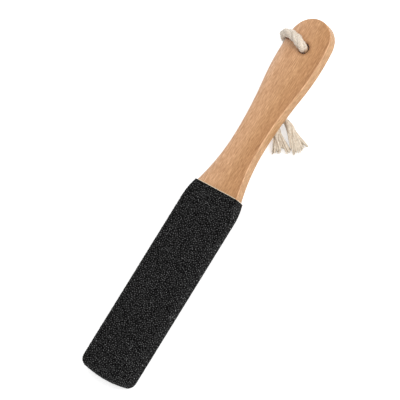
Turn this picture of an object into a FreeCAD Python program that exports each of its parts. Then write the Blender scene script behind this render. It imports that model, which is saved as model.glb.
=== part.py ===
import FreeCAD, Part
import math
import os

import Sketcher
from FreeCAD import Placement, Rotation, Vector

# Foot file: a beech paddle whose blade is wrapped in grit sheet, with a hang cord through its handle.
# Millimetres. The paddle is drawn flat, with its length along +X from the blade's end, its front face
# up and its back face at height zero. It is then laid as it rests on a table: on the end of the blade
# and on the knot of its own cord, which lies under the handle.
SIZES = {
    # wooden paddle
    "neck_station": 171.5,
    "handle_length": 87.7,
    "wood_thickness": 7.6,
    "blade_width": 37.4,
    "neck_width": 21.2,
    "head_width": 31.0,
    "tip_radius": 74.0,
    "corner_radius": 4.8,
    "shoulder_radius": 36.0,
    "flare_radius": 118.0,
    "side_radius": 235.0,
    "cheek_radius": 137.0,
    "edge_round": 0.8,
    # hole for the cord
    "hole_diameter": 7.0,
    "hole_inset": 20.6,
    "hole_chamfer": 0.5,
    # grit sheets and the film that bonds them
    "sheet_length": 135.2,
    "sheet_thickness": 0.8,
    "film_thickness": 0.2,
    "film_margin": 0.6,
    "rim_overlap": 0.4,
    # cord, and the lie of the paddle on its knot
    "cord_diameter": 5.8,
    "knot_diameter": 16.0,
    "knot_height": 11.5,
    "knot_chamfer": 3.0,
    "knot_station": 194.6,
    "lay_clearance": 0.4,
    # how far a cut runs past what it cuts
    "overrun": 5.0,
}

# Routes of the cord where it lies, each a list of points from the hole or the knot outwards.
KNOT_PLACE = (66.0, 0.5)
FRONT_ROUTE = [
    (109.4, 0.0, 18.2), (109.2, 0.05, 22.2), (110.2, 2.1, 25.6), (111.9, 6.1, 27.1),
    (112.6, 10.9, 27.2), (112.0, 15.3, 26.0), (110.9, 18.4, 22.6), (110.3, 18.8, 17.3),
    (109.0, 18.2, 12.2), (105.6, 17.0, 8.1), (100.3, 15.6, 5.6), (94.0, 13.9, 4.5),
    (87.4, 11.8, 4.3), (80.9, 9.2, 4.7), (75.6, 6.7, 5.3), (71.2, 4.9, 5.75),
]
BACK_ROUTE = [
    (109.4, 0.0, 18.2), (109.6, -0.05, 14.2), (108.5, 0.1, 10.1), (105.6, -0.1, 7.0),
    (101.4, -0.8, 5.2), (96.0, -2.0, 4.4), (89.6, -3.2, 4.2), (83.0, -3.7, 4.4),
    (77.6, -2.9, 5.0), (72.9, -1.6, 5.6),
]
RIGHT_TAIL_ROUTE = [
    (66.9, -6.6, 5.3), (64.9, -11.5, 4.3), (61.4, -16.4, 3.6), (57.8, -21.2, 3.1), (54.7, -26.0, 3.0),
]
LEFT_TAIL_ROUTE = [
    (60.4, -3.6, 5.3), (57.2, -6.8, 4.3), (53.9, -10.2, 3.6), (51.0, -13.8, 3.1), (48.9, -17.2, 3.0),
]

# Flat sides of the cord's section.
CORD_SIDES = 9
# Share of the shorter run that the arc at a corner of a route takes up.
ARC_RUN_SHARE = 0.45
# Part of its volume by which a tube may differ from its section times its length.
VOLUME_SLACK_SHARE = 0.01
# Heights this close count as one level when edges are picked.
LEVEL_MATCH = 0.001

# Sums of sizes, written for the sheet.
WOOD_LENGTH = "Sizes.neck_station + Sizes.handle_length"
SHEET_OUTSIDE = "Sizes.film_thickness + Sizes.sheet_thickness"
FILM_LENGTH = "Sizes.sheet_length + Sizes.film_margin"
RIM_DEPTH = "(Sizes.edge_round + Sizes.rim_overlap)"

os.makedirs("parts", exist_ok=True)
doc = FreeCAD.newDocument("foot_file")


def make_sheet():
    """Put every driving size in the document's sheet under its own name."""
    sheet = doc.addObject("Spreadsheet::Sheet", "Sizes")
    for row, (name, value) in enumerate(SIZES.items(), start=1):
        sheet.set(f"A{row}", name)
        sheet.set(f"B{row}", str(value))
        sheet.setAlias(f"B{row}", name)
    doc.recompute()
    return sheet


sizes = make_sheet()


def size(name):
    return float(sizes.get(name))


def total(text):
    """The value of a sum of sizes."""
    return float(sizes.evalExpression(text))


def along(start, end, distance):
    """The point at a distance from start on the line through end."""
    return start + (end - start).normalize() * distance


def half_profile(offset):
    """The left half of the paddle's outline, grown by an offset, as lines and arcs from tip to head.

    Each entry is a geometry and the numbers of its ends in order of travel."""
    half_blade = size("blade_width") / 2 + offset
    half_neck = size("neck_width") / 2 + offset
    half_head = size("head_width") / 2 + offset
    tip = size("tip_radius") + offset
    corner = size("corner_radius") + offset
    shoulder = size("shoulder_radius") + offset
    flare = size("flare_radius") - offset
    side = size("side_radius") - offset
    cheek = size("cheek_radius") + offset
    neck_x = size("neck_station")
    end_x = total(WOOD_LENGTH) + offset

    tip_mid = Vector(size("tip_radius"), 0, 0)
    corner_y = half_blade - corner
    corner_mid = Vector(tip_mid.x - math.sqrt((tip - corner) ** 2 - corner_y ** 2), corner_y, 0)
    flare_mid = Vector(neck_x, half_neck + flare, 0)
    shoulder_y = half_blade - shoulder
    shoulder_x = neck_x - math.sqrt((flare + shoulder) ** 2 - (flare_mid.y - shoulder_y) ** 2)
    shoulder_mid = Vector(shoulder_x, shoulder_y, 0)
    side_mid = Vector(neck_x, half_neck + side, 0)
    cheek_y = half_head - cheek
    cheek_x = neck_x + math.sqrt((side + cheek) ** 2 - (side_mid.y - cheek_y) ** 2)
    cheek_mid = Vector(cheek_x, cheek_y, 0)
    reach = end_x - cheek_x
    head = (cheek ** 2 - reach ** 2 - cheek_y ** 2) / (2 * (cheek - reach))
    head_mid = Vector(end_x - head, 0, 0)

    start = Vector(-offset, 0, 0)
    end = Vector(end_x, 0, 0)
    tip_end = along(tip_mid, corner_mid, tip)
    corner_end = Vector(corner_mid.x, half_blade, 0)
    edge_end = Vector(shoulder_mid.x, half_blade, 0)
    shoulder_end = along(shoulder_mid, flare_mid, shoulder)
    neck = Vector(neck_x, half_neck, 0)
    side_end = along(side_mid, cheek_mid, side)
    cheek_end = along(cheek_mid, head_mid, cheek)

    def arc(middle, radius, first, last):
        circle = Part.Circle(middle, Vector(0, 0, 1), radius)
        return Part.ArcOfCircle(circle, circle.parameter(first), circle.parameter(last))

    forwards, backwards = (1, 2), (2, 1)
    return [
        (arc(tip_mid, tip, tip_end, start), backwards),
        (arc(corner_mid, corner, corner_end, tip_end), backwards),
        (Part.LineSegment(corner_end, edge_end), forwards),
        (arc(shoulder_mid, shoulder, shoulder_end, edge_end), backwards),
        (arc(flare_mid, flare, shoulder_end, neck), forwards),
        (arc(side_mid, side, neck, side_end), forwards),
        (arc(cheek_mid, cheek, cheek_end, side_end), backwards),
        (arc(head_mid, head, end, cheek_end), backwards),
    ], Part.LineSegment(start, end)


def new_body(label):
    body = doc.addObject("PartDesign::Body", label)
    body.Label = label
    return body


def origin_plane(body, role):
    return next(feature for feature in body.Origin.OriginFeatures if feature.Role == role)


def level_sketch(body, name, height):
    """A sketch parallel to the table of the drawing, at a height given as a sum of sizes."""
    sketch = body.newObject("Sketcher::SketchObject", name)
    sketch.AttachmentSupport = [(origin_plane(body, "XY_Plane"), "")]
    sketch.MapMode = "FlatFace"
    sketch.setExpression("AttachmentOffset.Base.z", height)
    return sketch


def bind(sketch, constraint, text):
    """Add a sized constraint and tie it to a sum of sizes."""
    index = sketch.addConstraint(constraint)
    sketch.setExpression(f"Constraints[{index}]", text)


def outline_sketch(body, name, height, offset):
    """Half of the paddle's outline, grown by an offset, closed along its middle line."""
    sketch = level_sketch(body, name, height)
    value = total(offset)
    pieces, middle_line = half_profile(value)
    ids = [sketch.addGeometry(geometry, False) for geometry, ends in pieces]
    axis = sketch.addGeometry(middle_line, False)
    tip, corner, edge, shoulder, flare, side, cheek, head = ids
    x_axis, origin, centre = -1, (-1, 1), 3

    for index in range(len(pieces) - 1):
        end, start = pieces[index][1][1], pieces[index + 1][1][0]
        sketch.addConstraint(Sketcher.Constraint("Tangent", ids[index], end, ids[index + 1], start))
    sketch.addConstraint(Sketcher.Constraint("Coincident", tip, pieces[0][1][0], axis, 1))
    sketch.addConstraint(Sketcher.Constraint("Coincident", head, pieces[-1][1][1], axis, 2))
    for geometry, end in ((axis, 1), (axis, 2), (tip, centre), (head, centre)):
        sketch.addConstraint(Sketcher.Constraint("PointOnObject", geometry, end, x_axis))
    sketch.addConstraint(Sketcher.Constraint("Horizontal", edge))

    def across(kind, first, second, text):
        constraint = Sketcher.Constraint(kind, *first, *second, total(text))
        bind(sketch, constraint, text)

    def radius(geometry, text):
        bind(sketch, Sketcher.Constraint("Radius", geometry, total(text)), text)

    radius(tip, f"Sizes.tip_radius + ({offset})")
    radius(corner, f"Sizes.corner_radius + ({offset})")
    radius(shoulder, f"Sizes.shoulder_radius + ({offset})")
    radius(flare, f"Sizes.flare_radius - ({offset})")
    radius(side, f"Sizes.side_radius - ({offset})")
    radius(cheek, f"Sizes.cheek_radius + ({offset})")
    across("DistanceX", origin, (tip, centre), "Sizes.tip_radius")
    across("DistanceX", origin, (flare, centre), "Sizes.neck_station")
    across("DistanceX", origin, (side, centre), "Sizes.neck_station")
    across("DistanceX", origin, (axis, 2), f"{WOOD_LENGTH} + ({offset})")
    across("DistanceY", origin, (edge, 1), f"Sizes.blade_width / 2 + ({offset})")
    across("DistanceY", origin, (side, 1), f"Sizes.neck_width / 2 + ({offset})")
    across("DistanceY", (cheek, centre), origin, "Sizes.cheek_radius - Sizes.head_width / 2")
    return sketch


def pad(body, name, sketch, height):
    feature = body.newObject("PartDesign::Pad", name)
    feature.Profile = sketch
    feature.setExpression("Length", height)
    return feature


def pocket(body, name, sketch, upwards):
    """Cut a sketch's outline through everything above it or below it."""
    feature = body.newObject("PartDesign::Pocket", name)
    feature.Profile = sketch
    feature.Type = "ThroughAll"
    feature.Reversed = upwards
    return feature


def mirror(body, name, originals):
    """Add the right half of what was drawn for the left."""
    feature = body.newObject("PartDesign::Mirrored", name)
    feature.Originals = originals
    feature.MirrorPlane = (origin_plane(body, "XZ_Plane"), [""])
    feature.Refine = True
    body.Tip = feature
    doc.recompute()
    return feature


def picked_edges(shape, chosen):
    return [f"Edge{i}" for i, edge in enumerate(shape.Edges, start=1) if chosen(edge)]


def round_edges(body, name, base, radius, chosen):
    """Round the edges of a feature that a test picks."""
    feature = body.newObject("PartDesign::Fillet", name)
    feature.Base = (base, picked_edges(base.Shape, chosen))
    feature.setExpression("Radius", radius)
    doc.recompute()
    return feature


def at_level(edge, height):
    box = edge.BoundBox
    return abs(box.ZMin - height) < LEVEL_MATCH and abs(box.ZMax - height) < LEVEL_MATCH


def cut_handle_off(body, length):
    """Square off a piece of the blade's covering at a length given as a sum of sizes."""
    top = f"Sizes.wood_thickness + {SHEET_OUTSIDE} + Sizes.overrun"
    sketch = level_sketch(body, f"{body.Label}_end_sketch", top)
    near = total(length)
    far = total(WOOD_LENGTH) + size("overrun")
    wide = size("blade_width")
    corners = [Vector(near, -wide, 0), Vector(far, -wide, 0), Vector(far, wide, 0), Vector(near, wide, 0)]
    for first, last in zip(corners, corners[1:] + corners[:1]):
        sketch.addGeometry(Part.LineSegment(first, last), False)
    low, right, high, left = range(len(corners))
    for one, other in ((low, right), (right, high), (high, left), (left, low)):
        sketch.addConstraint(Sketcher.Constraint("Coincident", one, 2, other, 1))
    for line, way in ((low, "Horizontal"), (high, "Horizontal"), (left, "Vertical"), (right, "Vertical")):
        sketch.addConstraint(Sketcher.Constraint(way, line))
    bind(sketch, Sketcher.Constraint("DistanceX", -1, 1, low, 1, near), length)
    bind(sketch, Sketcher.Constraint("DistanceX", -1, 1, low, 2, far), f"{WOOD_LENGTH} + Sizes.overrun")
    bind(sketch, Sketcher.Constraint("DistanceY", low, 1, -1, 1, wide), "Sizes.blade_width")
    bind(sketch, Sketcher.Constraint("DistanceY", -1, 1, high, 1, wide), "Sizes.blade_width")
    before = body.Tip.Shape.Volume
    cut = pocket(body, f"{body.Label}_end", sketch, upwards=False)
    doc.recompute()
    if not cut.Shape.Volume < before:
        raise RuntimeError(f"{body.Label}: the cut at its end removed nothing")


def make_paddle():
    """The beech paddle: blade, neck, handle and rounded head in one piece, with the hole for the cord."""
    body = new_body("beech_paddle")
    outline = outline_sketch(body, "paddle_outline", "0", "0")
    half = pad(body, "paddle_half", outline, "Sizes.wood_thickness")
    whole = mirror(body, "paddle_whole", [half])
    top = size("wood_thickness")
    rounded = round_edges(body, "paddle_edges", whole, "Sizes.edge_round",
                          lambda edge: at_level(edge, 0) or at_level(edge, top))

    sketch = level_sketch(body, "hole_sketch", "Sizes.wood_thickness")
    middle = total(WOOD_LENGTH) - size("hole_inset")
    radius = size("hole_diameter") / 2
    circle = sketch.addGeometry(Part.Circle(Vector(middle, 0, 0), Vector(0, 0, 1), radius), False)
    sketch.addConstraint(Sketcher.Constraint("PointOnObject", circle, 3, -1))
    bind(sketch, Sketcher.Constraint("Radius", circle, radius), "Sizes.hole_diameter / 2")
    bind(sketch, Sketcher.Constraint("DistanceX", -1, 1, circle, 3, middle),
         f"{WOOD_LENGTH} - Sizes.hole_inset")
    hole = pocket(body, "cord_hole", sketch, upwards=False)
    doc.recompute()
    if not hole.Shape.Volume < rounded.Shape.Volume:
        raise RuntimeError("the cord's hole removed nothing")

    def is_rim(edge):
        round_edge = isinstance(edge.Curve, Part.Circle) and abs(edge.Curve.Radius - radius) < LEVEL_MATCH
        return round_edge and edge.BoundBox.ZLength < LEVEL_MATCH

    rims = body.newObject("PartDesign::Chamfer", "hole_rims")
    rims.Base = (hole, picked_edges(hole.Shape, is_rim))
    rims.setExpression("Size", "Sizes.hole_chamfer")
    doc.recompute()
    return body


def make_face_sheet(label, base, inner_face, outer_face, cut_upwards):
    """A grit sheet on one face of the blade, turned down over its rounded edges."""
    body = new_body(label)
    depth = f"{RIM_DEPTH} + {SHEET_OUTSIDE}"
    outside = outline_sketch(body, f"{label}_outline", base, SHEET_OUTSIDE)
    block = pad(body, f"{label}_block", outside, depth)
    inside = outline_sketch(body, f"{label}_bed", inner_face, "Sizes.film_thickness")
    bed = pocket(body, f"{label}_hollow", inside, cut_upwards)
    doc.recompute()
    if not bed.Shape.Volume < block.Shape.Volume:
        raise RuntimeError(f"{label}: its hollow removed nothing")
    whole = mirror(body, f"{label}_whole", [block, bed])
    outer = total(outer_face)
    inner = total(inner_face)
    rim = round_edges(body, f"{label}_rim", whole, f"Sizes.edge_round + {SHEET_OUTSIDE}",
                      lambda edge: at_level(edge, outer))
    round_edges(body, f"{label}_bend", rim, "Sizes.edge_round + Sizes.film_thickness",
                lambda edge: at_level(edge, inner))
    cut_handle_off(body, "Sizes.sheet_length")
    return body


def make_face_film(label, base):
    """The bonding film under a face sheet, as wide as the flat of the blade, with a margin past its end."""
    body = new_body(label)
    outline = outline_sketch(body, f"{label}_outline", base, "-Sizes.edge_round")
    half = pad(body, f"{label}_half", outline, "Sizes.film_thickness")
    mirror(body, f"{label}_whole", [half])
    cut_handle_off(body, FILM_LENGTH)
    return body


def make_edge_band(label, outside, inside, length):
    """A band round the sides and the end of the blade, between the rims of the two face sheets."""
    body = new_body(label)
    outer = outline_sketch(body, f"{label}_outline", RIM_DEPTH, outside)
    block = pad(body, f"{label}_block", outer, f"Sizes.wood_thickness - 2 * {RIM_DEPTH}")
    inner = outline_sketch(body, f"{label}_bed", RIM_DEPTH, inside)
    bed = pocket(body, f"{label}_hollow", inner, upwards=True)
    doc.recompute()
    if not bed.Shape.Volume < block.Shape.Volume:
        raise RuntimeError(f"{label}: its hollow removed nothing")
    mirror(body, f"{label}_whole", [block, bed])
    cut_handle_off(body, length)
    return body


def lay_down(bodies):
    """Tilt the paddle on to its knot, its lowest point on the table and its box centred over the origin."""
    build_up = size("film_thickness") + size("sheet_thickness")
    lift = size("knot_height") + size("lay_clearance") - build_up
    tilt = math.degrees(math.asin(lift / (size("knot_station") - size("edge_round"))))
    turned = Rotation(Vector(0, 1, 0), -tilt)
    box = FreeCAD.BoundBox()
    for body in bodies:
        shape = body.Shape.copy()
        shape.Placement = Placement(Vector(0, 0, 0), turned)
        box.add(shape.optimalBoundingBox(False, False))
    shift = Vector(-box.Center.x, -box.Center.y, -box.ZMin)
    for body in bodies:
        body.Placement = Placement(shift, turned)
    print(f"tilt {tilt:.3f} degrees, shift {shift.x:.3f} {shift.y:.3f} {shift.z:.3f}")


def rounded_path(name, route):
    """Straight runs joined by arcs that are as large as their runs allow."""
    points = [Vector(*point) for point in route]
    edges = []
    radii = []
    here = points[0]
    for before, corner, after in zip(points, points[1:], points[2:]):
        back, onward = before - corner, after - corner
        trim = ARC_RUN_SHARE * min(back.Length, onward.Length)
        half_turn = (math.pi - back.getAngle(onward)) / 2
        radius = trim / math.tan(half_turn)
        first = corner + back.normalize() * trim
        last = corner + onward.normalize() * trim
        inward = (back + onward).normalize()
        middle = corner + inward * (radius / math.cos(half_turn) - radius)
        edges.append(Part.LineSegment(here, first).toShape())
        edges.append(Part.Arc(first, middle, last).toShape())
        radii.append(radius)
        here = last
    edges.append(Part.LineSegment(here, points[-1]).toShape())
    print(name, "bend radii", [round(radius, 1) for radius in radii])
    return Part.Wire(edges)


def make_cord_tube(label, route):
    """A stretch of the cord as a many-sided rod along its route."""
    path = rounded_path(label, route)
    start = Vector(*route[0])
    rim = Part.Circle(start, Vector(*route[1]) - start, size("cord_diameter") / 2)
    corners = [rim.value(2 * math.pi * number / CORD_SIDES) for number in range(CORD_SIDES)]
    section = Part.makePolygon(corners + corners[:1])
    tube = path.makePipeShell([section], True, False)
    expected = Part.Face(section).Area * path.Length
    if abs(tube.Volume - expected) > VOLUME_SLACK_SHARE * expected:
        raise RuntimeError(f"{label}: its volume is not its section times its length")
    print(label, "length", round(path.Length, 1))
    feature = doc.addObject("Part::Feature", label)
    feature.Shape = tube
    feature.Placement = Placement()
    return feature


def make_knot(routes):
    """The knot: a barrel between the handle and the table, with a flat where each stretch meets it."""
    barrel = doc.addObject("Part::Cylinder", "knot_barrel")
    barrel.setExpression("Radius", "Sizes.knot_diameter / 2")
    barrel.setExpression("Height", "Sizes.knot_height")
    barrel.Placement.Base = Vector(*KNOT_PLACE, 0)
    doc.recompute()
    knot = doc.addObject("Part::Chamfer", "knot_rims")
    knot.Base = barrel
    bevel = size("knot_chamfer")
    knot.Edges = [(i, bevel, bevel) for i, edge in enumerate(barrel.Shape.Edges, start=1) if edge.isClosed()]
    block_size = size("knot_diameter")
    for number, (end, beyond) in enumerate(routes, start=1):
        end, beyond = Vector(*end), Vector(*beyond)
        block = doc.addObject("Part::Box", f"knot_flat_block_{number}")
        for side in ("Length", "Width", "Height"):
            block.setExpression(side, "Sizes.knot_diameter")
        turned = Rotation(Vector(0, 0, 1), beyond - end)
        corner = turned.multVec(Vector(block_size / 2, block_size / 2, 0))
        block.Placement = Placement(end - corner, turned)
        cut = doc.addObject("Part::Cut", f"knot_flat_{number}")
        cut.Base = knot
        cut.Tool = block
        knot = cut
    knot.Label = "cord_knot"
    return knot


paddle_pieces = [
    make_paddle(),
    make_face_film("front_film", "Sizes.wood_thickness"),
    make_face_film("back_film", "-Sizes.film_thickness"),
    make_edge_band("edge_film", "Sizes.film_thickness", "0", FILM_LENGTH),
    make_face_sheet(
        "front_coarse_sheet",
        base=f"Sizes.wood_thickness - {RIM_DEPTH}",
        inner_face="Sizes.wood_thickness + Sizes.film_thickness",
        outer_face=f"Sizes.wood_thickness + {SHEET_OUTSIDE}",
        cut_upwards=False,
    ),
    make_face_sheet(
        "back_fine_sheet",
        base=f"-({SHEET_OUTSIDE})",
        inner_face="-Sizes.film_thickness",
        outer_face=f"-({SHEET_OUTSIDE})",
        cut_upwards=True,
    ),
    make_edge_band("edge_strip", SHEET_OUTSIDE, "Sizes.film_thickness", "Sizes.sheet_length"),
]
doc.recompute()
lay_down(paddle_pieces)

cord_pieces = [
    make_cord_tube("cord_front_strand", FRONT_ROUTE),
    make_cord_tube("cord_back_strand", BACK_ROUTE),
    make_cord_tube("cord_right_tail", RIGHT_TAIL_ROUTE),
    make_cord_tube("cord_left_tail", LEFT_TAIL_ROUTE),
    make_knot([
        FRONT_ROUTE[:-3:-1],
        BACK_ROUTE[:-3:-1],
        RIGHT_TAIL_ROUTE[:2],
        LEFT_TAIL_ROUTE[:2],
    ]),
]
doc.recompute()

for thing in doc.Objects:
    if "Invalid" in thing.State or "Error" in thing.State:
        raise RuntimeError(f"{thing.Label} failed: {thing.State}")
for piece in paddle_pieces + cord_pieces:
    shape = piece.Shape
    if shape.isNull() or not shape.isValid() or len(shape.Solids) != 1:
        raise RuntimeError(f"{piece.Label} is not one valid solid")
    shape.exportStep(f"parts/{piece.Label}.step")
    box = shape.BoundBox
    lengths = f"{box.XLength:.2f} x {box.YLength:.2f} x {box.ZLength:.2f} mm"
    print(f"{piece.Label}: {shape.Volume:.1f} mm3 in a box of {lengths}")
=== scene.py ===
import math
import random

import bpy
import numpy as np
from mathutils import Matrix, Vector
from mathutils.bvhtree import BVHTree


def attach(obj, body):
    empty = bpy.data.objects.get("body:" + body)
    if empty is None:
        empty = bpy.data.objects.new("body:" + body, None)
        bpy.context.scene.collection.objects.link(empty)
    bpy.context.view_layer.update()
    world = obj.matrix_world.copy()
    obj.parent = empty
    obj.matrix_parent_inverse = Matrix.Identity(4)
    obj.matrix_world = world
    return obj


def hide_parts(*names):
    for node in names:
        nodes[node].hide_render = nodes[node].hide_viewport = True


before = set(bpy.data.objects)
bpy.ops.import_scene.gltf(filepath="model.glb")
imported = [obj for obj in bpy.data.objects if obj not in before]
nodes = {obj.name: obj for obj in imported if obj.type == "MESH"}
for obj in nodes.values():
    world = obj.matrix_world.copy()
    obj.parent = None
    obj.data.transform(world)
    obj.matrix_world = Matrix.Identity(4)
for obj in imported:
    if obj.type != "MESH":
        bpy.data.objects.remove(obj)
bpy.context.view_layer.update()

# Foot file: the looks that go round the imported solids. Metres, in the frame of the solids.
BODY = "root"
MM = 0.001

# A tint that leaves a colour as it is.
PLAIN = (1, 1, 1)

# The file leans, handle up, on the knot of its cord. The wood's grain follows that lean.
LEAN = math.radians(3.224)

# Camera: the photograph's direction, from far off with a long lens.
RIGHT = Vector((0.54451, -0.74960, -0.37631))
UP = Vector((0.82591, 0.40095, 0.39637))
AIM = Vector((-0.004035, 0.008619, 0.011935))
FRAME_WIDTH = 0.24775
LENS = 900.0
SENSOR = 36.0
FAR_CLIP = 100.0

# Routes of the cord, as the solids have them. By the head the front stretch is pressed nearer to the wood.
FRONT_ROUTE = [
    (0.1092, 0.0001, 0.0182), (0.1089, 0.0003, 0.0222), (0.1103, 0.0025, 0.0250), (0.1122, 0.0064, 0.0255),
    (0.1129, 0.0109, 0.0254), (0.1126, 0.0149, 0.0252), (0.1113, 0.0185, 0.0224), (0.1104, 0.0188, 0.0173),
    (0.1090, 0.0182, 0.0122), (0.1056, 0.0170, 0.0081), (0.1003, 0.0156, 0.0056), (0.0940, 0.0139, 0.0045),
    (0.0874, 0.0118, 0.0043), (0.0809, 0.0092, 0.0047), (0.0756, 0.0067, 0.0053), (0.0712, 0.0049, 0.00575),
]
BACK_ROUTE = [
    (0.1094, 0.0, 0.0182), (0.1096, -0.00005, 0.0142), (0.1085, 0.0001, 0.0101),
    (0.1056, -0.0001, 0.0070), (0.1014, -0.0008, 0.0052), (0.0960, -0.0020, 0.0044),
    (0.0896, -0.0032, 0.0042), (0.0830, -0.0037, 0.0044), (0.0776, -0.0029, 0.0050),
    (0.0729, -0.0016, 0.0056),
]
RIGHT_TAIL_ROUTE = [
    (0.0669, -0.0066, 0.0053), (0.0649, -0.0115, 0.0043), (0.0614, -0.0164, 0.0036),
    (0.0578, -0.0212, 0.0031), (0.0547, -0.0260, 0.0030),
]
LEFT_TAIL_ROUTE = [
    (0.0604, -0.0036, 0.0053), (0.0572, -0.0068, 0.0043), (0.0539, -0.0102, 0.0036),
    (0.0510, -0.0138, 0.0031), (0.0489, -0.0172, 0.0030),
]
ROUTE_STEPS = 16

# A direction that no line of the cord starts along.
OFF_AXIS = (0.3, 0.2, 1.0)

# Girth of the front stretch along its length: full in the hole and on the face, slim round the edge.
FRONT_GIRTH = (
    (0, 0.05, 0.12, 0.20, 0.28, 0.36, 0.5, 1),
    (1.06, 1.08, 1.15, 1.12, 0.94, 0.86, 1.0, 1.0),
)
EVEN_GIRTH = ((0, 1), (1, 1))

# Rope: strands twisted round the route, each with the flutes of its yarns.
STRANDS = 3
STRAND_RADIUS = 1.86 * MM
STRAND_OFFSET = 0.96 * MM
LAY_LENGTH = 18.0 * MM
TAIL_LAY_LENGTH = 34.0 * MM
TAIL_TWISTED_SHARE = 0.6
YARN_FLUTES = 7
FLUTE_DEPTH = 0.10
YARN_LAY_LENGTH = 9.0 * MM
ROPE_STEP = 0.3 * MM
ROPE_SIDES = 24
WOOLLINESS = 0.045

# Knot: turns of cord round its stretches, points a turn, the first turn's start as a share of a turn,
# and the ends of the turns beside the centre.
KNOT_CENTRE = np.array((0.0660, 0.0005, 0.00575))
KNOT_TURNS = 2
KNOT_STEPS = 8
KNOT_START = 0.1
KNOT_PITCH = 4.2 * MM
KNOT_HALF_WIDTH = 4.5 * MM
KNOT_HALF_HEIGHT = 2.6 * MM
KNOT_FIRST_END = (-5.5 * MM, MM, 0.5 * MM)
KNOT_LAST_END = (5.2 * MM, -MM, -0.5 * MM)
KNOT_BOW = (0, 0.3 * MM, 0)

# Frayed ends: the end of each clump of yarns, its half width, its number of yarns and its sideways bow.
RIGHT_CLUMPS = [
    ((0.0528, -0.0219, 0.0018), 1.3 * MM, 10, 1.4 * MM),
    ((0.0530, -0.0254, 0.0020), 1.7 * MM, 12, 0.0),
    ((0.0557, -0.0274, 0.0018), 1.5 * MM, 12, -0.6 * MM),
    ((0.0592, -0.0294, 0.0014), 0.6 * MM, 4, 1.0 * MM),
    ((0.0506, -0.0240, 0.0014), 0.5 * MM, 4, 0.8 * MM),
]
LEFT_CLUMPS = [
    ((0.0470, -0.0127, 0.0018), 3.1 * MM, 20, 0.0),
    ((0.0507, -0.0196, 0.0018), 1.8 * MM, 12, -2.0 * MM),
    ((0.0513, -0.0150, 0.0020), 1.6 * MM, 10, -0.5 * MM),
]
YARN_LEAST_RADIUS = 0.46 * MM
YARN_MOST_RADIUS = 0.66 * MM
YARN_SIDES = 14
YARN_POINTS = 22
YARN_TAPER = ((0, 0.8, 1), (1, 1, 0.55))

# Root of a yarn in its tail: share of the tail's length, pull towards the clump and room beside the line.
ROOT_SHARE = (0.06, 0.28)
ROOT_PULL = 0.3
ROOT_MOST_PULL = 1.2 * MM
ROOT_PULL_KEPT = 0.8
ROOT_HALF_WIDTH = 0.7 * MM
ROOT_HALF_HEIGHT = 1.3 * MM

# Lie of a yarn in its clump: its layer, how far it strays, how far it ends past the clump, in mm,
# and its wave, in mm high and in beats.
YARN_LAYER = 0.55
LAYER_STRAY = 0.25
SIDE_STRAY = 0.15
END_STRAY = (-1.5, 1.0)
END_LEAST_HEIGHT = 0.5 * MM
LEAD_SHARE = 0.4
WAVE_HEIGHT = (0.05, 0.2)
WAVE_BEATS = (0.8, 1.8)
UV_STRAY = 0.04

# Grain of the wood: repeats a metre along, across and through it, and tones,
# for its broad bands, fine lines and short flecks.
BAND_SCALE = (9, 110, 60)
BAND_TONES = [(0.3, (0.54, 0.293, 0.142)), (0.7, (0.63, 0.360, 0.190))]
LINE_SCALE = (130, 1500, 1200)
LINE_TINTS = [(0.32, (0.79, 0.73, 0.65)), (0.68, (1.15, 1.18, 1.22))]
FLECK_SCALE = (380, 2300, 1700)
FLECK_TINTS = [(0.28, (1.12, 1.14, 1.16)), (0.72, (0.77, 0.70, 0.62))]
FLECK_BUMP = (0.12, 0.2 * MM)
WAX_ROUGHNESS = 0.46

# Shades of the wood: the handle's half width along its length, in parts of a scale,
# and the face's tint from its right edge to its left edge.
HALF_WIDTH_SPAN = 130 * MM
HALF_WIDTH_SCALE = 20 * MM
HALF_WIDTH_STOPS = [
    (0.05, 0.86), (0.16, 0.64), (0.33, 0.53), (0.54, 0.62), (0.70, 0.72), (0.82, 0.775), (0.92, 0.70),
]
FACE_SHADES = [
    (0.0, (0.75, 0.67, 0.55)), (0.15, (0.86, 0.785, 0.66)), (0.40, (0.95, 0.925, 0.855)),
    (0.65, (1.05, 1.07, 1.12)), (0.84, (1.06, 1.10, 1.20)), (1.0, (1.04, 1.18, 1.50)),
]

# Painted shade on the sides and underside and a painted highlight on the rounded top edges, by how far the
# wood faces up, and what counts as its face.
PAINTED_SIDE_SHADE = (0.855, 0.87, 0.80)
PAINTED_EDGE_HIGHLIGHT = (1.04, 1.06, 1.09)
PAINTED_SHADE_AND_HIGHLIGHT = [(0.10, PAINTED_SIDE_SHADE), (0.40, PAINTED_EDGE_HIGHLIGHT), (0.80, PAINTED_EDGE_HIGHLIGHT), (0.93, PLAIN)]
FACES_UP = (0.80, 0.97)

# Darker wood round the hole, from its wall outwards: partly grime, partly painted shade of the hollow.
HOLE_CENTRE = (110.18 * MM, 0.0, 0.0)
HOLE_RIM = (3.5 * MM, 5.6 * MM)
HOLE_GRIME_AND_SHADE = [
    (0.0, (0.66, 0.50, 0.36)), (0.25, (0.74, 0.69, 0.64)), (0.70, (0.82, 0.80, 0.78)), (1.0, PLAIN),
]

# Brown tint of the cord where it is in the hole, partly dirt and partly painted shade and brown light from
# the wood: reach from the hole's axis, height and tint.
IN_HOLE_REACH = (3.6 * MM, 4.4 * MM)
IN_HOLE_HEIGHT = (15.2 * MM, 17.0 * MM)
IN_HOLE_DIRT_AND_SHADE = (0.56, 0.36, 0.21)

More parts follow.
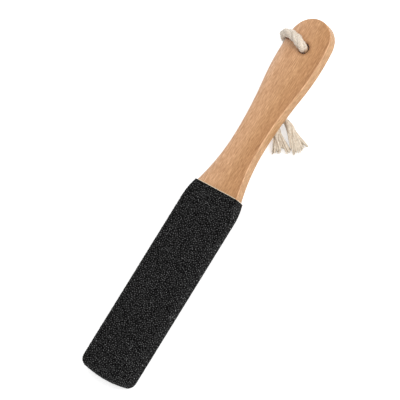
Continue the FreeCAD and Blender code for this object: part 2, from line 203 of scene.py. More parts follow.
# Painted shadow of the cord on the face, from the hole to the left edge: the place of its middle
# along the handle, in parts of a scale, its tint across, and where it fades in.
CORD_SHADOW_SPAN = (-2.0 * MM, 18.0 * MM)
CORD_SHADOW_SCALE = (105.0 * MM, 120.0 * MM)
CORD_SHADOW_STOPS = [(0.15, 0.41), (0.31, 0.49), (0.53, 0.56), (0.75, 0.555), (0.93, 0.49)]
CORD_SHADOW_HALF_WIDTH = 4.0 * MM
CORD_SHADOW_TINTS = [(0.15, PLAIN), (0.21, (0.42, 0.28, 0.21)), (0.80, (0.42, 0.28, 0.21)), (0.88, PLAIN)]
CORD_SHADOW_START = (1.5 * MM, 4.0 * MM)

# Cotton: repeats of its fibres round and along a strand, clouds, tufts, sheen and softness.
FIBRE_SCALE = (22, 0.7, 1)
FIBRE_STOPS = (0.3, 0.62)
FIBRE_BUMP = (0.5, 0.25 * MM)
CLOUD_SCALE = 700.0
CLOUD_TINTS = [(0.32, (0.82, 0.80, 0.76)), (0.62, PLAIN)]
TUFT_SIZE = 0.8 * MM
TUFT_TINTS = [(0.55, PLAIN), (0.85, (0.74, 0.71, 0.66))]
COTTON_ROUGHNESS = 0.9
SHEEN = 0.35
SHEEN_ROUGHNESS = 0.5
SOFT_COLOURS = (1.0, 0.9, 0.8)
SOFT_DEPTH = 1.2 * MM

# Grit and bonding film: tones, roughness, gloss and bump. The pale grains' tones are partly a paler grain
# and partly painted glints; the bright grains' tones are painted glints.
DARK_TONES = [(0.0, 0.0006), (0.55, 0.004), (1.0, 0.04)]
PALE_AND_GLINT_TONES = [(0.0, 0.055), (1.0, 0.19)]
PAINTED_GLINT_TONES = [(0.0, 0.16), (1.0, 0.42)]
GRIT_ROUGHNESS = 0.5
GRIT_GLOSS = 0.03
GRIT_BUMP = 0.9
FILM_SCALE = 300.0
FILM_TONES = [(0.3, (0.74, 0.60, 0.42)), (0.7, (0.86, 0.74, 0.56))]
FILM_ROUGHNESS = 0.4

# Scattered grains: number a square metre before the gap between them thins them out, most lean and seed.
DENSE = 9.0e6
GRAIN_LEAN = 0.9
FIRST_GRIT_SEED = 1

# One grain of unit size: the corners of its rim, how far out and how high they are, its top and its root.
GRAIN_SEED = 5
GRAIN_ANGLES = (0.0, 1.45, 3.3, 4.6)
GRAIN_REACH = (0.4, 0.55)
GRAIN_RIM = (-0.25, -0.05)
GRAIN_TOP = (0.08, -0.05, 0.36)
GRAIN_ROOT = (-0.05, 0.04, -0.5)

# One fibre of unit length: points along it, each with its half width.
FIBRE_SPINE = [(0.0, 0.0, -0.05, 0.030), (0.10, 0.0, 0.40, 0.026), (0.42, 0.0, 0.72, 0.014)]

# Loose fibres on the cord: gap, number a square metre, most lean, least and most length, and seed.
FUZZ_GAP = 0.22 * MM
FUZZ_DENSITY = 5.0e6
FUZZ_LEAN = 1.25
ROPE_FUZZ = (0.5 * MM, 1.3 * MM)
FRAYED_FUZZ = (0.3 * MM, 0.8 * MM)
FIRST_FUZZ_SEED = 11

# Where the hole squeezes the cord, which has no loose fibres there: axis, reach and heights.
SQUEEZE_AXIS = Vector((0.1092, 0.0))
SQUEEZE_REACH = 4.2 * MM
SQUEEZE_HEIGHTS = (0.0135, 0.0232)

# Studio: a pale floor, even light from all round and one soft key light.
FLOOR_REACH = 6.0
FLOOR_SCALE = 3.0
FLOOR_TONES = [(0.0, 0.94), (1.0, 0.96)]
FLOOR_ROUGHNESS = 0.9
FLOOR_GLOSS = 0.1
FLOOR_GLOW = 0.50
EVEN_LIGHT = 0.755
KEY_PLACE = (0.50, -1.00, 0.95)
KEY_SIZE = 0.6
KEY_POWER = 12.0


def link_new(name, data):
    thing = bpy.data.objects.new(name, data)
    bpy.context.scene.collection.objects.link(thing)
    return thing


def new_mesh(name, vertices, faces):
    mesh = bpy.data.meshes.new(name)
    mesh.from_pydata(vertices, [], faces)
    return mesh


def make_camera():
    """The photograph's view: right and up are its sides, and the aim is its middle."""
    data = bpy.data.cameras.new("camera")
    data.lens = LENS
    data.sensor_width = SENSOR
    data.clip_end = FAR_CLIP
    camera = link_new("camera", data)
    right = RIGHT.normalized()
    back = right.cross(UP).normalized()
    up = back.cross(right)
    place = AIM + back * (FRAME_WIDTH * LENS / SENSOR)
    turned = Matrix((right, up, back)).transposed()
    camera.matrix_world = Matrix.Translation(place) @ turned.to_4x4()
    bpy.context.scene.camera = camera


make_camera()


def spline_points(route):
    """Points read from the smooth line that a route's points control."""
    curve = bpy.data.curves.new("route", "CURVE")
    curve.dimensions = "3D"
    curve.resolution_u = ROUTE_STEPS
    spline = curve.splines.new("NURBS")
    spline.points.add(len(route) - 1)
    for point, place in zip(spline.points, route):
        point.co = (*place, 1.0)
    spline.order_u = 3
    spline.use_endpoint_u = True
    holder = link_new("route", curve)
    bpy.context.view_layer.update()
    mesh = bpy.data.meshes.new_from_object(holder)
    points = np.array([vertex.co[:] for vertex in mesh.vertices])
    bpy.data.objects.remove(holder)
    bpy.data.curves.remove(curve)
    bpy.data.meshes.remove(mesh)
    return points


def lengths_along(points):
    return np.concatenate(([0.0], np.cumsum(np.linalg.norm(np.diff(points, axis=0), axis=1))))


def even_steps(points, step):
    """The same line in equal steps, and the length gone by at each."""
    along = lengths_along(points)
    keep = np.concatenate(([True], np.diff(along) > 0))
    points, along = points[keep], along[keep]
    wanted = np.linspace(0.0, along[-1], max(3, round(along[-1] / step) + 1))
    return np.stack([np.interp(wanted, along, axis) for axis in points.T], axis=1), wanted


def side_vectors(points):
    """Two steady cross directions at each point of a line, and its direction."""
    tangents = np.gradient(points, axis=0)
    tangents /= np.linalg.norm(tangents, axis=1)[:, None]
    first = np.cross(tangents[0], OFF_AXIS)
    normals = [first / np.linalg.norm(first)]
    for tangent in tangents[1:]:
        normal = normals[-1] - tangent * np.dot(normals[-1], tangent)
        normals.append(normal / np.linalg.norm(normal))
    normals = np.array(normals)
    return normals, np.cross(tangents, normals), tangents


class Tubes:
    """Collects the tubes of one mesh. The UV layer runs round and along each tube."""

    def __init__(self, seed):
        self.chance = np.random.default_rng(seed)
        self.vertices, self.quads, self.caps, self.quad_uvs, self.cap_uvs = [], [], [], [], []
        self.count = 0

    def add(self, points, radii, sides, uv_start):
        rings = len(points)
        normals, binormals, _ = side_vectors(points)
        along = lengths_along(points)
        angle = 2 * math.pi * np.arange(sides) / sides
        swell = 1.0 + WOOLLINESS * self.chance.uniform(-1, 1, (rings, sides))
        phase = YARN_FLUTES * (angle[None, :] - 2 * math.pi * along[:, None] / YARN_LAY_LENGTH)
        swell -= FLUTE_DEPTH * (1.0 - np.abs(np.cos(phase / 2)))
        ring = (np.cos(angle)[None, :, None] * normals[:, None, :]
                + np.sin(angle)[None, :, None] * binormals[:, None, :])
        width = np.broadcast_to(radii, (rings,))[:, None] * swell
        self.vertices += [(points[:, None, :] + ring * width[:, :, None]).reshape(-1, 3), points[[0, -1]]]

        side = np.arange(sides)
        after = (side + 1) % sides
        row = (np.arange(rings - 1) * sides)[:, None]
        quads = np.stack([row + side, row + after, row + after + sides, row + side + sides], axis=2)
        self.quads.append(self.count + quads.reshape(-1, 4))
        round_share = np.stack([side, side + 1, side + 1, side], axis=1) / sides
        lines = (along + uv_start) / MM
        length = np.stack([lines[:-1], lines[:-1], lines[1:], lines[1:]], axis=1)
        uvs = np.empty((rings - 1, sides, 4, 2))
        uvs[..., 0] = round_share[None, :, :]
        uvs[..., 1] = length[:, None, :]
        self.quad_uvs.append(uvs.reshape(-1, 2))

        last = (rings - 1) * sides
        low, high = rings * sides, rings * sides + 1
        starts = np.stack([after, side, np.full(sides, low)], axis=1)
        ends = np.stack([last + side, last + after, np.full(sides, high)], axis=1)
        self.caps.append(self.count + np.concatenate([starts, ends]))
        self.cap_uvs.append(np.repeat([[0.0, lines[0]], [0.0, lines[-1]]], 3 * sides, axis=0))
        self.count += rings * sides + 2

    def make(self, name, material):
        faces = np.concatenate(self.quads).tolist() + np.concatenate(self.caps).tolist()
        mesh = new_mesh(name, np.concatenate(self.vertices).tolist(), faces)
        layer = mesh.uv_layers.new(name="fibre")
        layer.data.foreach_set("uv", np.concatenate(self.quad_uvs + self.cap_uvs).ravel())
        mesh.polygons.foreach_set("use_smooth", [True] * len(mesh.polygons))
        mesh.materials.append(material)
        return link_new(name, mesh)


def new_material(name):
    material = bpy.data.materials.new(name)
    material.use_nodes = True
    tree = material.node_tree
    return material, tree, tree.nodes["Principled BSDF"]


def object_place(tree):
    return tree.nodes.new("ShaderNodeTexCoord").outputs["Object"]


def ramp(tree, factor, stops):
    node = tree.nodes.new("ShaderNodeValToRGB")
    elements = node.color_ramp.elements
    while len(elements) < len(stops):
        elements.new(0.5)
    for element, (place, colour) in zip(elements, stops):
        element.position = place
        element.color = (*colour, 1.0)
    tree.links.new(factor, node.inputs["Fac"])
    return node.outputs["Color"]


def levels(tree, factor, stops):
    """A ramp of greys."""
    return ramp(tree, factor, [(place, (value, value, value)) for place, value in stops])


def noise(tree, vector, scale=1.0, detail=3.0, roughness=0.55):
    node = tree.nodes.new("ShaderNodeTexNoise")
    node.inputs["Scale"].default_value = scale
    node.inputs["Detail"].default_value = detail
    node.inputs["Roughness"].default_value = roughness
    tree.links.new(vector, node.inputs["Vector"])
    return node.outputs["Fac"]


def cells(tree, vector, size):
    node = tree.nodes.new("ShaderNodeTexVoronoi")
    node.inputs["Scale"].default_value = 1.0 / size
    tree.links.new(vector, node.inputs["Vector"])
    return node


def mapped(tree, vector, scale, rotation=(0, 0, 0)):
    node = tree.nodes.new("ShaderNodeMapping")
    node.inputs["Scale"].default_value = scale
    node.inputs["Rotation"].default_value = rotation
    tree.links.new(vector, node.inputs["Vector"])
    return node.outputs["Vector"]


def times(tree, factor, first, second):
    """The first colour multiplied by the second, as far as the factor says."""
    node = tree.nodes.new("ShaderNodeMix")
    node.data_type = "RGBA"
    node.blend_type = "MULTIPLY"
    if isinstance(factor, float):
        node.inputs[0].default_value = factor
    else:
        tree.links.new(factor, node.inputs[0])
    tree.links.new(first, node.inputs[6])
    tree.links.new(second, node.inputs[7])
    return node.outputs[2]


def parts(tree, vector):
    """The three numbers of a vector."""
    node = tree.nodes.new("ShaderNodeSeparateXYZ")
    tree.links.new(vector, node.inputs[0])
    return node.outputs


def span(tree, value, low, high, clamp=False):
    """The value's place between two ends."""
    node = tree.nodes.new("ShaderNodeMapRange")
    node.clamp = clamp
    node.inputs["From Min"].default_value = low
    node.inputs["From Max"].default_value = high
    tree.links.new(value, node.inputs["Value"])
    return node.outputs["Result"]


def combined(tree, operation, first, second):
    node = tree.nodes.new("ShaderNodeMath")
    node.operation = operation
    tree.links.new(first, node.inputs[0])
    tree.links.new(second, node.inputs[1])
    return node.outputs[0]


def reach_from(tree, vector, centre):
    """The distance of a place from a point, in the plane of the face."""
    node = tree.nodes.new("ShaderNodeVectorMath")
    node.operation = "DISTANCE"
    tree.links.new(mapped(tree, vector, (1, 1, 0)), node.inputs[0])
    node.inputs[1].default_value = centre
    return node.outputs["Value"]


def bump(tree, height, strength, distance):
    node = tree.nodes.new("ShaderNodeBump")
    node.inputs["Strength"].default_value = strength
    node.inputs["Distance"].default_value = distance
    tree.links.new(height, node.inputs["Height"])
    return node.outputs["Normal"]


def wood_material():
    """Waxed beech: broad bands, fine lines and short flecks along the grain, painted shade on its sides and
    underside, a painted highlight on its rounded top edges, darker wood and painted shade round the hole,
    and the cord's painted shadow.
    """
    material, tree, shader = new_material("beech")
    level = mapped(tree, object_place(tree), (1, 1, 1), rotation=(0, LEAN, 0))
    bands = noise(tree, mapped(tree, level, BAND_SCALE), detail=3.0, roughness=0.5)
    lines = noise(tree, mapped(tree, level, LINE_SCALE), detail=2.0, roughness=0.6)
    flecks = noise(tree, mapped(tree, level, FLECK_SCALE), detail=1.0, roughness=0.5)
    colour = times(tree, 1.0, ramp(tree, bands, BAND_TONES), ramp(tree, lines, LINE_TINTS))
    colour = times(tree, 1.0, colour, ramp(tree, flecks, FLECK_TINTS))

    along, across, _ = parts(tree, level)
    half_width = levels(tree, span(tree, along, 0.0, HALF_WIDTH_SPAN), HALF_WIDTH_STOPS)
    place = combined(tree, "DIVIDE", span(tree, across, 0.0, HALF_WIDTH_SCALE), half_width)
    shade = ramp(tree, span(tree, place, -1.0, 1.0), FACE_SHADES)
    steepness = parts(tree, tree.nodes.new("ShaderNodeNewGeometry").outputs["Normal"])[2]
    colour = times(tree, span(tree, steepness, *FACES_UP, clamp=True), colour, shade)
    # Painted shade on the sides and underside, and a painted highlight on the rounded top edges, by the
    # surface's normal.
    colour = times(tree, 1.0, colour, ramp(tree, steepness, PAINTED_SHADE_AND_HIGHLIGHT))
    # Darker round the hole: partly grime, partly painted shade.
    rim = span(tree, reach_from(tree, level, HOLE_CENTRE), *HOLE_RIM, clamp=True)
    colour = times(tree, 1.0, colour, ramp(tree, rim, HOLE_GRIME_AND_SHADE))
    # Painted shadow of the cord: a dark band on the face beside its route.
    middle = levels(tree, span(tree, across, *CORD_SHADOW_SPAN), CORD_SHADOW_STOPS)
    aside = combined(tree, "SUBTRACT", span(tree, along, *CORD_SHADOW_SCALE), middle)
    half = CORD_SHADOW_HALF_WIDTH / (CORD_SHADOW_SCALE[1] - CORD_SHADOW_SCALE[0])
    cord_shadow = ramp(tree, span(tree, aside, -half, half), CORD_SHADOW_TINTS)
    shadow_fade = span(tree, across, *CORD_SHADOW_START, clamp=True)
    tree.links.new(times(tree, shadow_fade, colour, cord_shadow), shader.inputs["Base Color"])
    shader.inputs["Roughness"].default_value = WAX_ROUGHNESS
    tree.links.new(bump(tree, flecks, *FLECK_BUMP), shader.inputs["Normal"])
    return material


def grit_material(name, cell, pit, tones):
    """Black grit: cells that each have a tone of their own, on a pitted surface."""
    material, tree, shader = new_material(name)
    place = object_place(tree)
    pick = tree.nodes.new("ShaderNodeSeparateColor")
    tree.links.new(cells(tree, place, cell).outputs["Color"], pick.inputs[0])
    tree.links.new(levels(tree, pick.outputs[0], tones), shader.inputs["Base Color"])
    shader.inputs["Roughness"].default_value = GRIT_ROUGHNESS
    shader.inputs["Specular IOR Level"].default_value = GRIT_GLOSS
    pits = cells(tree, place, pit).outputs["Distance"]
    tree.links.new(bump(tree, pits, GRIT_BUMP, pit), shader.inputs["Normal"])
    return material


def cotton_material(name, dark, light, tuft_depth, softness):
    """Undyed cotton: fibres that run along each strand, clouded and woolly."""
    material, tree, shader = new_material(name)
    lines = tree.nodes.new("ShaderNodeUVMap")
    lines.uv_map = "fibre"
    place = object_place(tree)
    fibres = noise(tree, mapped(tree, lines.outputs["UV"], FIBRE_SCALE), roughness=0.65)
    tone = ramp(tree, fibres, list(zip(FIBRE_STOPS, (dark, light))))
    clouds = noise(tree, place, CLOUD_SCALE)
    tufts = cells(tree, place, TUFT_SIZE).outputs["Distance"]
    colour = times(tree, 1.0, tone, ramp(tree, clouds, CLOUD_TINTS))
    colour = times(tree, tuft_depth, colour, ramp(tree, tufts, TUFT_TINTS))
    # Brown tint in the hole: partly dirt, partly painted shade and light bounced from the wood.
    level = mapped(tree, place, (1, 1, 1), rotation=(0, LEAN, 0))
    beside = span(tree, reach_from(tree, level, HOLE_CENTRE), *IN_HOLE_REACH, clamp=True)
    over = span(tree, parts(tree, level)[2], *IN_HOLE_HEIGHT, clamp=True)
    dirt_and_shade = ramp(tree, combined(tree, "MAXIMUM", beside, over), [(0.0, IN_HOLE_DIRT_AND_SHADE), (1.0, PLAIN)])
    tree.links.new(times(tree, 1.0, colour, dirt_and_shade), shader.inputs["Base Color"])
    shader.inputs["Roughness"].default_value = COTTON_ROUGHNESS
    shader.inputs["Sheen Weight"].default_value = SHEEN
    shader.inputs["Sheen Roughness"].default_value = SHEEN_ROUGHNESS
    shader.inputs["Subsurface Weight"].default_value = softness
    shader.inputs["Subsurface Radius"].default_value = SOFT_COLOURS
    shader.inputs["Subsurface Scale"].default_value = SOFT_DEPTH
    tree.links.new(bump(tree, fibres, *FIBRE_BUMP), shader.inputs["Normal"])
    return material


def film_material():
    """The pale bonding film, which shows as a thin line at the sheet's end."""
    material, tree, shader = new_material("bonding_film")
    clouds = noise(tree, object_place(tree), FILM_SCALE)
    tree.links.new(ramp(tree, clouds, FILM_TONES), shader.inputs["Base Color"])
    shader.inputs["Roughness"].default_value = FILM_ROUGHNESS
    return material


wood = wood_material()
coarse = grit_material("coarse_grit", cell=0.5 * MM, pit=0.6 * MM, tones=DARK_TONES)
fine = grit_material("fine_grit", cell=0.4 * MM, pit=0.3 * MM, tones=DARK_TONES)
# Pale grains: partly a paler grain tone, partly painted glints. Bright grains: painted glints.
pale_grit = grit_material("pale_grit", cell=0.5 * MM, pit=0.5 * MM, tones=PALE_AND_GLINT_TONES)
bright_grit = grit_material("bright_grit", cell=0.8 * MM, pit=0.8 * MM, tones=PAINTED_GLINT_TONES)
cotton = cotton_material(
    "cotton", dark=(0.655, 0.56, 0.45), light=(0.87, 0.78, 0.685), tuft_depth=1.0, softness=0.35)
# The frayed ends' cotton is darker in its low tones than the cord's: partly painted shade of the handle
# above the tails.
frayed_cotton = cotton_material(
    "frayed_cotton", dark=(0.51, 0.43, 0.33), light=(0.89, 0.79, 0.66), tuft_depth=0.0, softness=0.0)
film = film_material()


def dress(node, material):
    mesh = nodes[node].data
    mesh.materials.clear()
    mesh.materials.append(material)


dress("beech_paddle", wood)
dress("front_coarse_sheet", coarse)
dress("back_fine_sheet", fine)
dress("edge_strip", coarse)
for name in ("front_film", "back_film", "edge_film"):
    dress(name, film)


def lay_rope(tubes, points, spread=EVEN_GIRTH, thin=EVEN_GIRTH, lay=LAY_LENGTH):
    """Twist strands round a line. Spread and thin change with the share of the length gone by."""
    points, along = even_steps(points, ROPE_STEP)
    share = along / along[-1]
    offset = STRAND_OFFSET * np.interp(share, *spread)
    radius = STRAND_RADIUS * np.interp(share, *thin)
    normals, binormals, _ = side_vectors(points)
    for strand in range(STRANDS):
        turn = 2 * math.pi * (strand / STRANDS + along / lay)
        way = np.cos(turn)[:, None] * normals + np.sin(turn)[:, None] * binormals
        tubes.add(points + offset[:, None] * way, radius, ROPE_SIDES, strand * LAY_LENGTH)


def make_strand(name, route, girth, seed):
    points = spline_points(route)
    tubes = Tubes(seed)
    lay_rope(tubes, points, spread=girth, thin=girth)
    return tubes.make(name, cotton), points


def make_knot(seed):
    """Turns round the cord's stretches, which run in to the middle."""
    coil = [KNOT_CENTRE + KNOT_FIRST_END]
    for count in range(KNOT_TURNS * KNOT_STEPS + 1):
        gone = count / KNOT_STEPS
        turn = 2 * math.pi * (KNOT_START + gone)
        coil.append(KNOT_CENTRE + (
            KNOT_PITCH * (gone - KNOT_TURNS / 2),
            KNOT_HALF_WIDTH * math.cos(turn),
            KNOT_HALF_HEIGHT * math.sin(turn),
        ))
    coil.append(KNOT_CENTRE + KNOT_LAST_END)
    tubes = Tubes(seed)
    lay_rope(tubes, spline_points(coil))
    for end in (FRONT_ROUTE[-1], BACK_ROUTE[-1], RIGHT_TAIL_ROUTE[0], LEFT_TAIL_ROUTE[0]):
        middle = (KNOT_CENTRE + end) / 2 + KNOT_BOW
        lay_rope(tubes, spline_points([end, middle, KNOT_CENTRE]))
    return tubes.make("rope_knot", cotton)


def frayed_yarn(chance, points, tangents, clump, number):
    """One yarn from inside the rope to near the end of its clump. Yarns lie side by side, in two layers."""
    end, half_width, count, bow = clump
    end = np.array(end)
    first = int(chance.uniform(*ROOT_SHARE) * len(points))
    way = end - points[first]
    way /= np.linalg.norm(way)
    across = np.cross(way, (0, 0, 1.0))
    across /= np.linalg.norm(across)
    aside = 2 * (number // 2 + 0.5) / ((count + 1) // 2) - 1 + chance.uniform(-SIDE_STRAY, SIDE_STRAY)
    above = (YARN_LAYER if number % 2 else -YARN_LAYER) + chance.uniform(-LAYER_STRAY, LAYER_STRAY)
    pull = float(np.clip(ROOT_PULL * np.dot(end - points[-1], across), -ROOT_MOST_PULL, ROOT_MOST_PULL))
    begin = points[first] + across * (ROOT_PULL_KEPT * pull + ROOT_HALF_WIDTH * aside)
    begin = begin + (0, 0, ROOT_HALF_HEIGHT * above)
    finish = end + across * half_width * aside + way * chance.uniform(*END_STRAY) * MM
    finish[2] = max(END_LEAST_HEIGHT, end[2] + MM * above)
    lead = begin + tangents[first] * (LEAD_SHARE * np.linalg.norm(finish - begin)) + across * bow
    share = np.linspace(0, 1, YARN_POINTS)[:, None]
    line = (1 - share) ** 2 * begin + 2 * share * (1 - share) * lead + share ** 2 * finish
    wave = chance.uniform(*WAVE_HEIGHT) * MM
    beat = 2 * math.pi * chance.uniform(*WAVE_BEATS)
    start = 2 * math.pi * chance.random()
    line += wave * share * np.sin(beat * share + start) * across
    line[:, 2] = np.maximum(line[:, 2], YARN_MOST_RADIUS)
    taper = np.interp(share[:, 0], *YARN_TAPER)
    return line, chance.uniform(YARN_LEAST_RADIUS, YARN_MOST_RADIUS) * taper


def make_tail(name, route, clumps, start_width, seed):
    """A short twisted stretch that opens into clumps of yarn."""
    chance = random.Random(seed)
    points, _ = even_steps(spline_points(route), ROPE_STEP)
    tubes = Tubes(seed)
    twisted = points[:int(TAIL_TWISTED_SHARE * len(points))]
    spread = ((0, 0.45, 1), (start_width, 1.05, 1.1))
    thin = ((0, 0.55, 1), (start_width, 0.9, 0.3))
    lay_rope(tubes, twisted, spread, thin, TAIL_LAY_LENGTH)
    tangents = side_vectors(points)[2]
    for clump in clumps:
        for number in range(clump[2]):
            line, radii = frayed_yarn(chance, points, tangents, clump, number)
            tubes.add(line, radii, YARN_SIDES, chance.uniform(0, UV_STRAY))
    return tubes.make(name, frayed_cotton)


front_cord, front_line = make_strand("rope_front", FRONT_ROUTE, FRONT_GIRTH, seed=1)
back_cord, back_line = make_strand("rope_back", BACK_ROUTE, EVEN_GIRTH, seed=2)
knot = make_knot(seed=4)
right_tail = make_tail("rope_right_tail", RIGHT_TAIL_ROUTE, RIGHT_CLUMPS, start_width=0.6, seed=3)
left_tail = make_tail("rope_left_tail", LEFT_TAIL_ROUTE, LEFT_CLUMPS, start_width=1.0, seed=8)
ropes = {front_cord: "cord_front_strand", back_cord: "cord_back_strand", knot: "cord_knot",
         right_tail: "cord_right_tail", left_tail: "cord_left_tail"}


def scatter_tree():
    """Scatters small turned copies of a mesh over a surface."""
    tree = bpy.data.node_groups.new("scatter", "GeometryNodeTree")
    inputs = {
        "Geometry": "NodeSocketGeometry", "Gap": "NodeSocketFloat", "Density": "NodeSocketFloat",
        "Seed": "NodeSocketInt", "Least size": "NodeSocketFloat", "Most size": "NodeSocketFloat",
        "Lean": "NodeSocketFloat", "Copy": "NodeSocketObject", "Material": "NodeSocketMaterial",
    }
    for label, kind in inputs.items():
        tree.interface.new_socket(label, in_out="INPUT", socket_type=kind)
    tree.interface.new_socket("Geometry", in_out="OUTPUT", socket_type="NodeSocketGeometry")
    link = tree.links.new
    start = tree.nodes.new("NodeGroupInput").outputs
    points = tree.nodes.new("GeometryNodeDistributePointsOnFaces")
    points.distribute_method = "POISSON"
    fed = {"Geometry": "Mesh", "Gap": "Distance Min", "Density": "Density Max", "Seed": "Seed"}
    for label, socket in fed.items():
        link(start[label], points.inputs[socket])

    size = tree.nodes.new("FunctionNodeRandomValue")
    size.data_type = "FLOAT"
    link(start["Least size"], size.inputs[2])
    link(start["Most size"], size.inputs[3])
    link(start["Seed"], size.inputs["Seed"])

    low = tree.nodes.new("ShaderNodeCombineXYZ")
    high = tree.nodes.new("ShaderNodeCombineXYZ")
    minus = tree.nodes.new("ShaderNodeMath")
    minus.operation = "MULTIPLY"
    minus.inputs[1].default_value = -1.0
    link(start["Lean"], minus.inputs[0])
    for axis in (0, 1):
        link(minus.outputs[0], low.inputs[axis])
        link(start["Lean"], high.inputs[axis])
    high.inputs[2].default_value = 2 * math.pi
    turn = tree.nodes.new("FunctionNodeRandomValue")
    turn.data_type = "FLOAT_VECTOR"
    link(low.outputs[0], turn.inputs[0])
    link(high.outputs[0], turn.inputs[1])
    link(start["Seed"], turn.inputs["Seed"])
    spin = tree.nodes.new("FunctionNodeEulerToRotation")
    link(turn.outputs[0], spin.inputs[0])
    rotate = tree.nodes.new("FunctionNodeRotateRotation")
    rotate.rotation_space = "LOCAL"
    link(points.outputs["Rotation"], rotate.inputs[0])
    link(spin.outputs[0], rotate.inputs[1])

    shape = tree.nodes.new("GeometryNodeObjectInfo")
    link(start["Copy"], shape.inputs[0])
    place = tree.nodes.new("GeometryNodeInstanceOnPoints")
    link(points.outputs["Points"], place.inputs["Points"])
    link(shape.outputs["Geometry"], place.inputs["Instance"])
    link(rotate.outputs[0], place.inputs["Rotation"])
    link(size.outputs[1], place.inputs["Scale"])
    real = tree.nodes.new("GeometryNodeRealizeInstances")
    link(place.outputs[0], real.inputs[0])
    paint = tree.nodes.new("GeometryNodeSetMaterial")
    link(real.outputs[0], paint.inputs["Geometry"])
    link(start["Material"], paint.inputs["Material"])
    link(paint.outputs[0], tree.nodes.new("NodeGroupOutput").inputs[0])
    return tree


scatter = scatter_tree()


def scatter_piece(name, bed, settings):
    """A plain mesh of scattered copies over a bed mesh, none of it below the floor."""
    holder = link_new(name + "_bed", bed)
    modifier = holder.modifiers.new("scatter", "NODES")
    modifier.node_group = scatter
    for item in scatter.interface.items_tree:
        if item.in_out == "INPUT" and item.name in settings:
            modifier[item.identifier] = settings[item.name]
    bpy.context.view_layer.update()
    evaluated = holder.evaluated_get(bpy.context.evaluated_depsgraph_get())
    mesh = bpy.data.meshes.new_from_object(evaluated)
    mesh.name = name
    bpy.data.objects.remove(holder)
    places = np.empty(3 * len(mesh.vertices))
    mesh.vertices.foreach_get("co", places)
    places[2::3] = np.maximum(places[2::3], 0.0)
    mesh.vertices.foreach_set("co", places)
    return link_new(name, mesh)


def outer_skin(node):
    """The faces of a node that no other solid covers."""
    solids = [thing.data for thing in nodes.values()]
    trees = [BVHTree.FromPolygons([v.co for v in mesh.vertices], [tuple(p.vertices) for p in mesh.polygons])
             for mesh in solids]
    source = nodes[node].data
    near, far = 0.02 * MM, 4 * MM
    kept = []
    for polygon in source.polygons:
        start = polygon.center + polygon.normal * near
        if all(tree.ray_cast(start, polygon.normal, far)[0] is None for tree in trees):
            kept.append(tuple(polygon.vertices))
    return new_mesh(node + "_skin", [v.co[:] for v in source.vertices], kept)


def make_grain():
    """A small many-faced grain of unit size, sunk by a part of its height."""
    chance = random.Random(GRAIN_SEED)
    ring = []
    for angle in GRAIN_ANGLES:
        reach = chance.uniform(*GRAIN_REACH)
        ring.append((reach * math.cos(angle), reach * math.sin(angle), chance.uniform(*GRAIN_RIM)))
    vertices = ring + [GRAIN_TOP, GRAIN_ROOT]
    faces = [(i, (i + 1) % 4, 4) for i in range(4)] + [((i + 1) % 4, i, 5) for i in range(4)]
    return link_new("grain", new_mesh("grain", vertices, faces))


def make_fibre():
    """A thin bent fibre of unit length."""
    vertices, faces = [], []
    for x, y, z, reach in FIBRE_SPINE:
        for corner in range(3):
            angle = 2 * math.pi * corner / 3
            vertices.append((x, y + reach * math.cos(angle), z + reach * math.sin(angle)))
    for row in range(len(FIBRE_SPINE) - 1):
        for corner in range(3):
            after = (corner + 1) % 3
            faces.append((3 * row + corner, 3 * row + after, 3 * row + after + 3, 3 * row + corner + 3))
    return link_new("fibre", new_mesh("fibre", vertices, faces))


grain = make_grain()
fibre = make_fibre()
grit_pieces = []
# The pale grains are partly painted glints, and the sparse bright grains are painted glints.
for node, kind, gap, density, least, most, material in (
    ("front_coarse_sheet", "grit", 0.40 * MM, DENSE, 0.30 * MM, 0.66 * MM, coarse),
    ("front_coarse_sheet", "pale_grit", 1.20 * MM, DENSE, 0.80 * MM, 1.00 * MM, pale_grit),
    ("edge_strip", "grit", 0.40 * MM, DENSE, 0.30 * MM, 0.62 * MM, coarse),
    ("edge_strip", "pale_grit", 1.60 * MM, DENSE, 0.85 * MM, 1.10 * MM, pale_grit),
    ("back_fine_sheet", "grit", 0.34 * MM, DENSE, 0.22 * MM, 0.38 * MM, fine),
    ("back_fine_sheet", "pale_grit", 0.80 * MM, DENSE, 0.50 * MM, 0.65 * MM, pale_grit),
    ("front_coarse_sheet", "bright_grit", 2.00 * MM, 1.8e4, 0.55 * MM, 0.85 * MM, bright_grit),
    ("edge_strip", "bright_grit", 2.00 * MM, 1.0e5, 0.75 * MM, 1.00 * MM, bright_grit),
):
    grit_pieces.append(scatter_piece(f"{node}_{kind}", outer_skin(node), {
        "Gap": gap, "Density": density, "Seed": FIRST_GRIT_SEED + len(grit_pieces),
        "Least size": least, "Most size": most, "Lean": GRAIN_LEAN, "Copy": grain, "Material": material,
    }))


def bare_in_hole(source):
    """A copy of a rope's mesh without the faces that are squeezed in the hole."""
    low, high = SQUEEZE_HEIGHTS
    kept = []
    for polygon in source.polygons:
        beside = (polygon.center.xy - SQUEEZE_AXIS).length > SQUEEZE_REACH
        if beside or polygon.center.z < low or polygon.center.z > high:
            kept.append(tuple(polygon.vertices))
    return new_mesh(source.name + "_bare", [vertex.co[:] for vertex in source.vertices], kept)


fuzz_pieces = []
for piece in ropes:
    material = piece.data.materials[0]
    least, most = FRAYED_FUZZ if material is frayed_cotton else ROPE_FUZZ
    fuzz_pieces.append(scatter_piece(piece.name + "_fuzz", bare_in_hole(piece.data), {
        "Gap": FUZZ_GAP, "Density": FUZZ_DENSITY, "Seed": FIRST_FUZZ_SEED + len(fuzz_pieces),
        "Least size": least, "Most size": most, "Lean": FUZZ_LEAN, "Copy": fibre, "Material": material,
    }))
bpy.data.objects.remove(grain)
bpy.data.objects.remove(fibre)


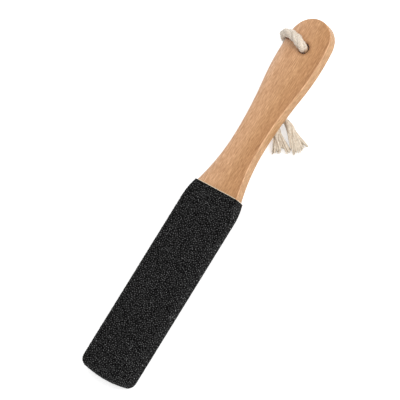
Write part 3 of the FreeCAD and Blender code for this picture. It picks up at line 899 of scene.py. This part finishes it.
def background_rays(tree):
    """1 for a ray that shows the background: seen straight, in a reflection or through glass."""
    path = tree.nodes.new("ShaderNodeLightPath").outputs
    seen = combined(tree, "MAXIMUM", path["Is Camera Ray"], path["Is Glossy Ray"])
    return combined(tree, "MAXIMUM", seen, path["Is Transmission Ray"])


def make_floor():
    """A pale floor that glows for the camera, so that only the object's shadow shows on it."""
    corners = [(FLOOR_REACH * x, FLOOR_REACH * y, 0) for x, y in ((-1, -1), (1, -1), (1, 1), (-1, 1))]
    mesh = new_mesh("floor", corners, [(0, 1, 2, 3)])
    material, tree, shader = new_material("floor")
    clouds = noise(tree, object_place(tree), FLOOR_SCALE)
    tree.links.new(levels(tree, clouds, FLOOR_TONES), shader.inputs["Base Color"])
    shader.inputs["Roughness"].default_value = FLOOR_ROUGHNESS
    shader.inputs["Specular IOR Level"].default_value = FLOOR_GLOSS
    shader.inputs["Emission Color"].default_value = (1, 1, 1, 1)
    glow = tree.nodes.new("ShaderNodeMath")
    glow.operation = "MULTIPLY"
    glow.inputs[1].default_value = FLOOR_GLOW
    tree.links.new(background_rays(tree), glow.inputs[0])
    tree.links.new(glow.outputs[0], shader.inputs["Emission Strength"])
    mesh.materials.append(material)
    link_new("floor", mesh)


def make_key_light():
    """A round soft light that looks at the middle of the object."""
    data = bpy.data.lights.new("key", "AREA")
    data.shape = "DISK"
    data.size = KEY_SIZE
    data.energy = KEY_POWER
    light = link_new("key", data)
    light.location = KEY_PLACE
    light.rotation_euler = Vector(KEY_PLACE).to_track_quat("Z", "Y").to_euler()


def make_world():
    """Even light from all round, and a white background for the camera and for reflections."""
    world = bpy.data.worlds.new("studio")
    bpy.context.scene.world = world
    world.use_nodes = True
    tree = world.node_tree
    light = tree.nodes["Background"]
    light.inputs["Color"].default_value = (1, 1, 1, 1)
    light.inputs["Strength"].default_value = EVEN_LIGHT
    seen = tree.nodes.new("ShaderNodeBackground")
    seen.inputs["Color"].default_value = (1, 1, 1, 1)
    seen.inputs["Strength"].default_value = 1.0
    pick = tree.nodes.new("ShaderNodeMixShader")
    tree.links.new(background_rays(tree), pick.inputs["Fac"])
    tree.links.new(light.outputs[0], pick.inputs[1])
    tree.links.new(seen.outputs[0], pick.inputs[2])
    tree.links.new(pick.outputs[0], tree.nodes["World Output"].inputs["Surface"])


make_floor()
make_world()
make_key_light()
bpy.context.scene.view_settings.view_transform = "Standard"

# Hide the cord's solids that the rope pieces replace, and attach every piece to what it rides on.
for piece, node in ropes.items():
    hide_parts(node)
for piece in list(ropes) + fuzz_pieces:
    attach(piece, BODY)
for piece in grit_pieces:
    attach(piece, BODY)
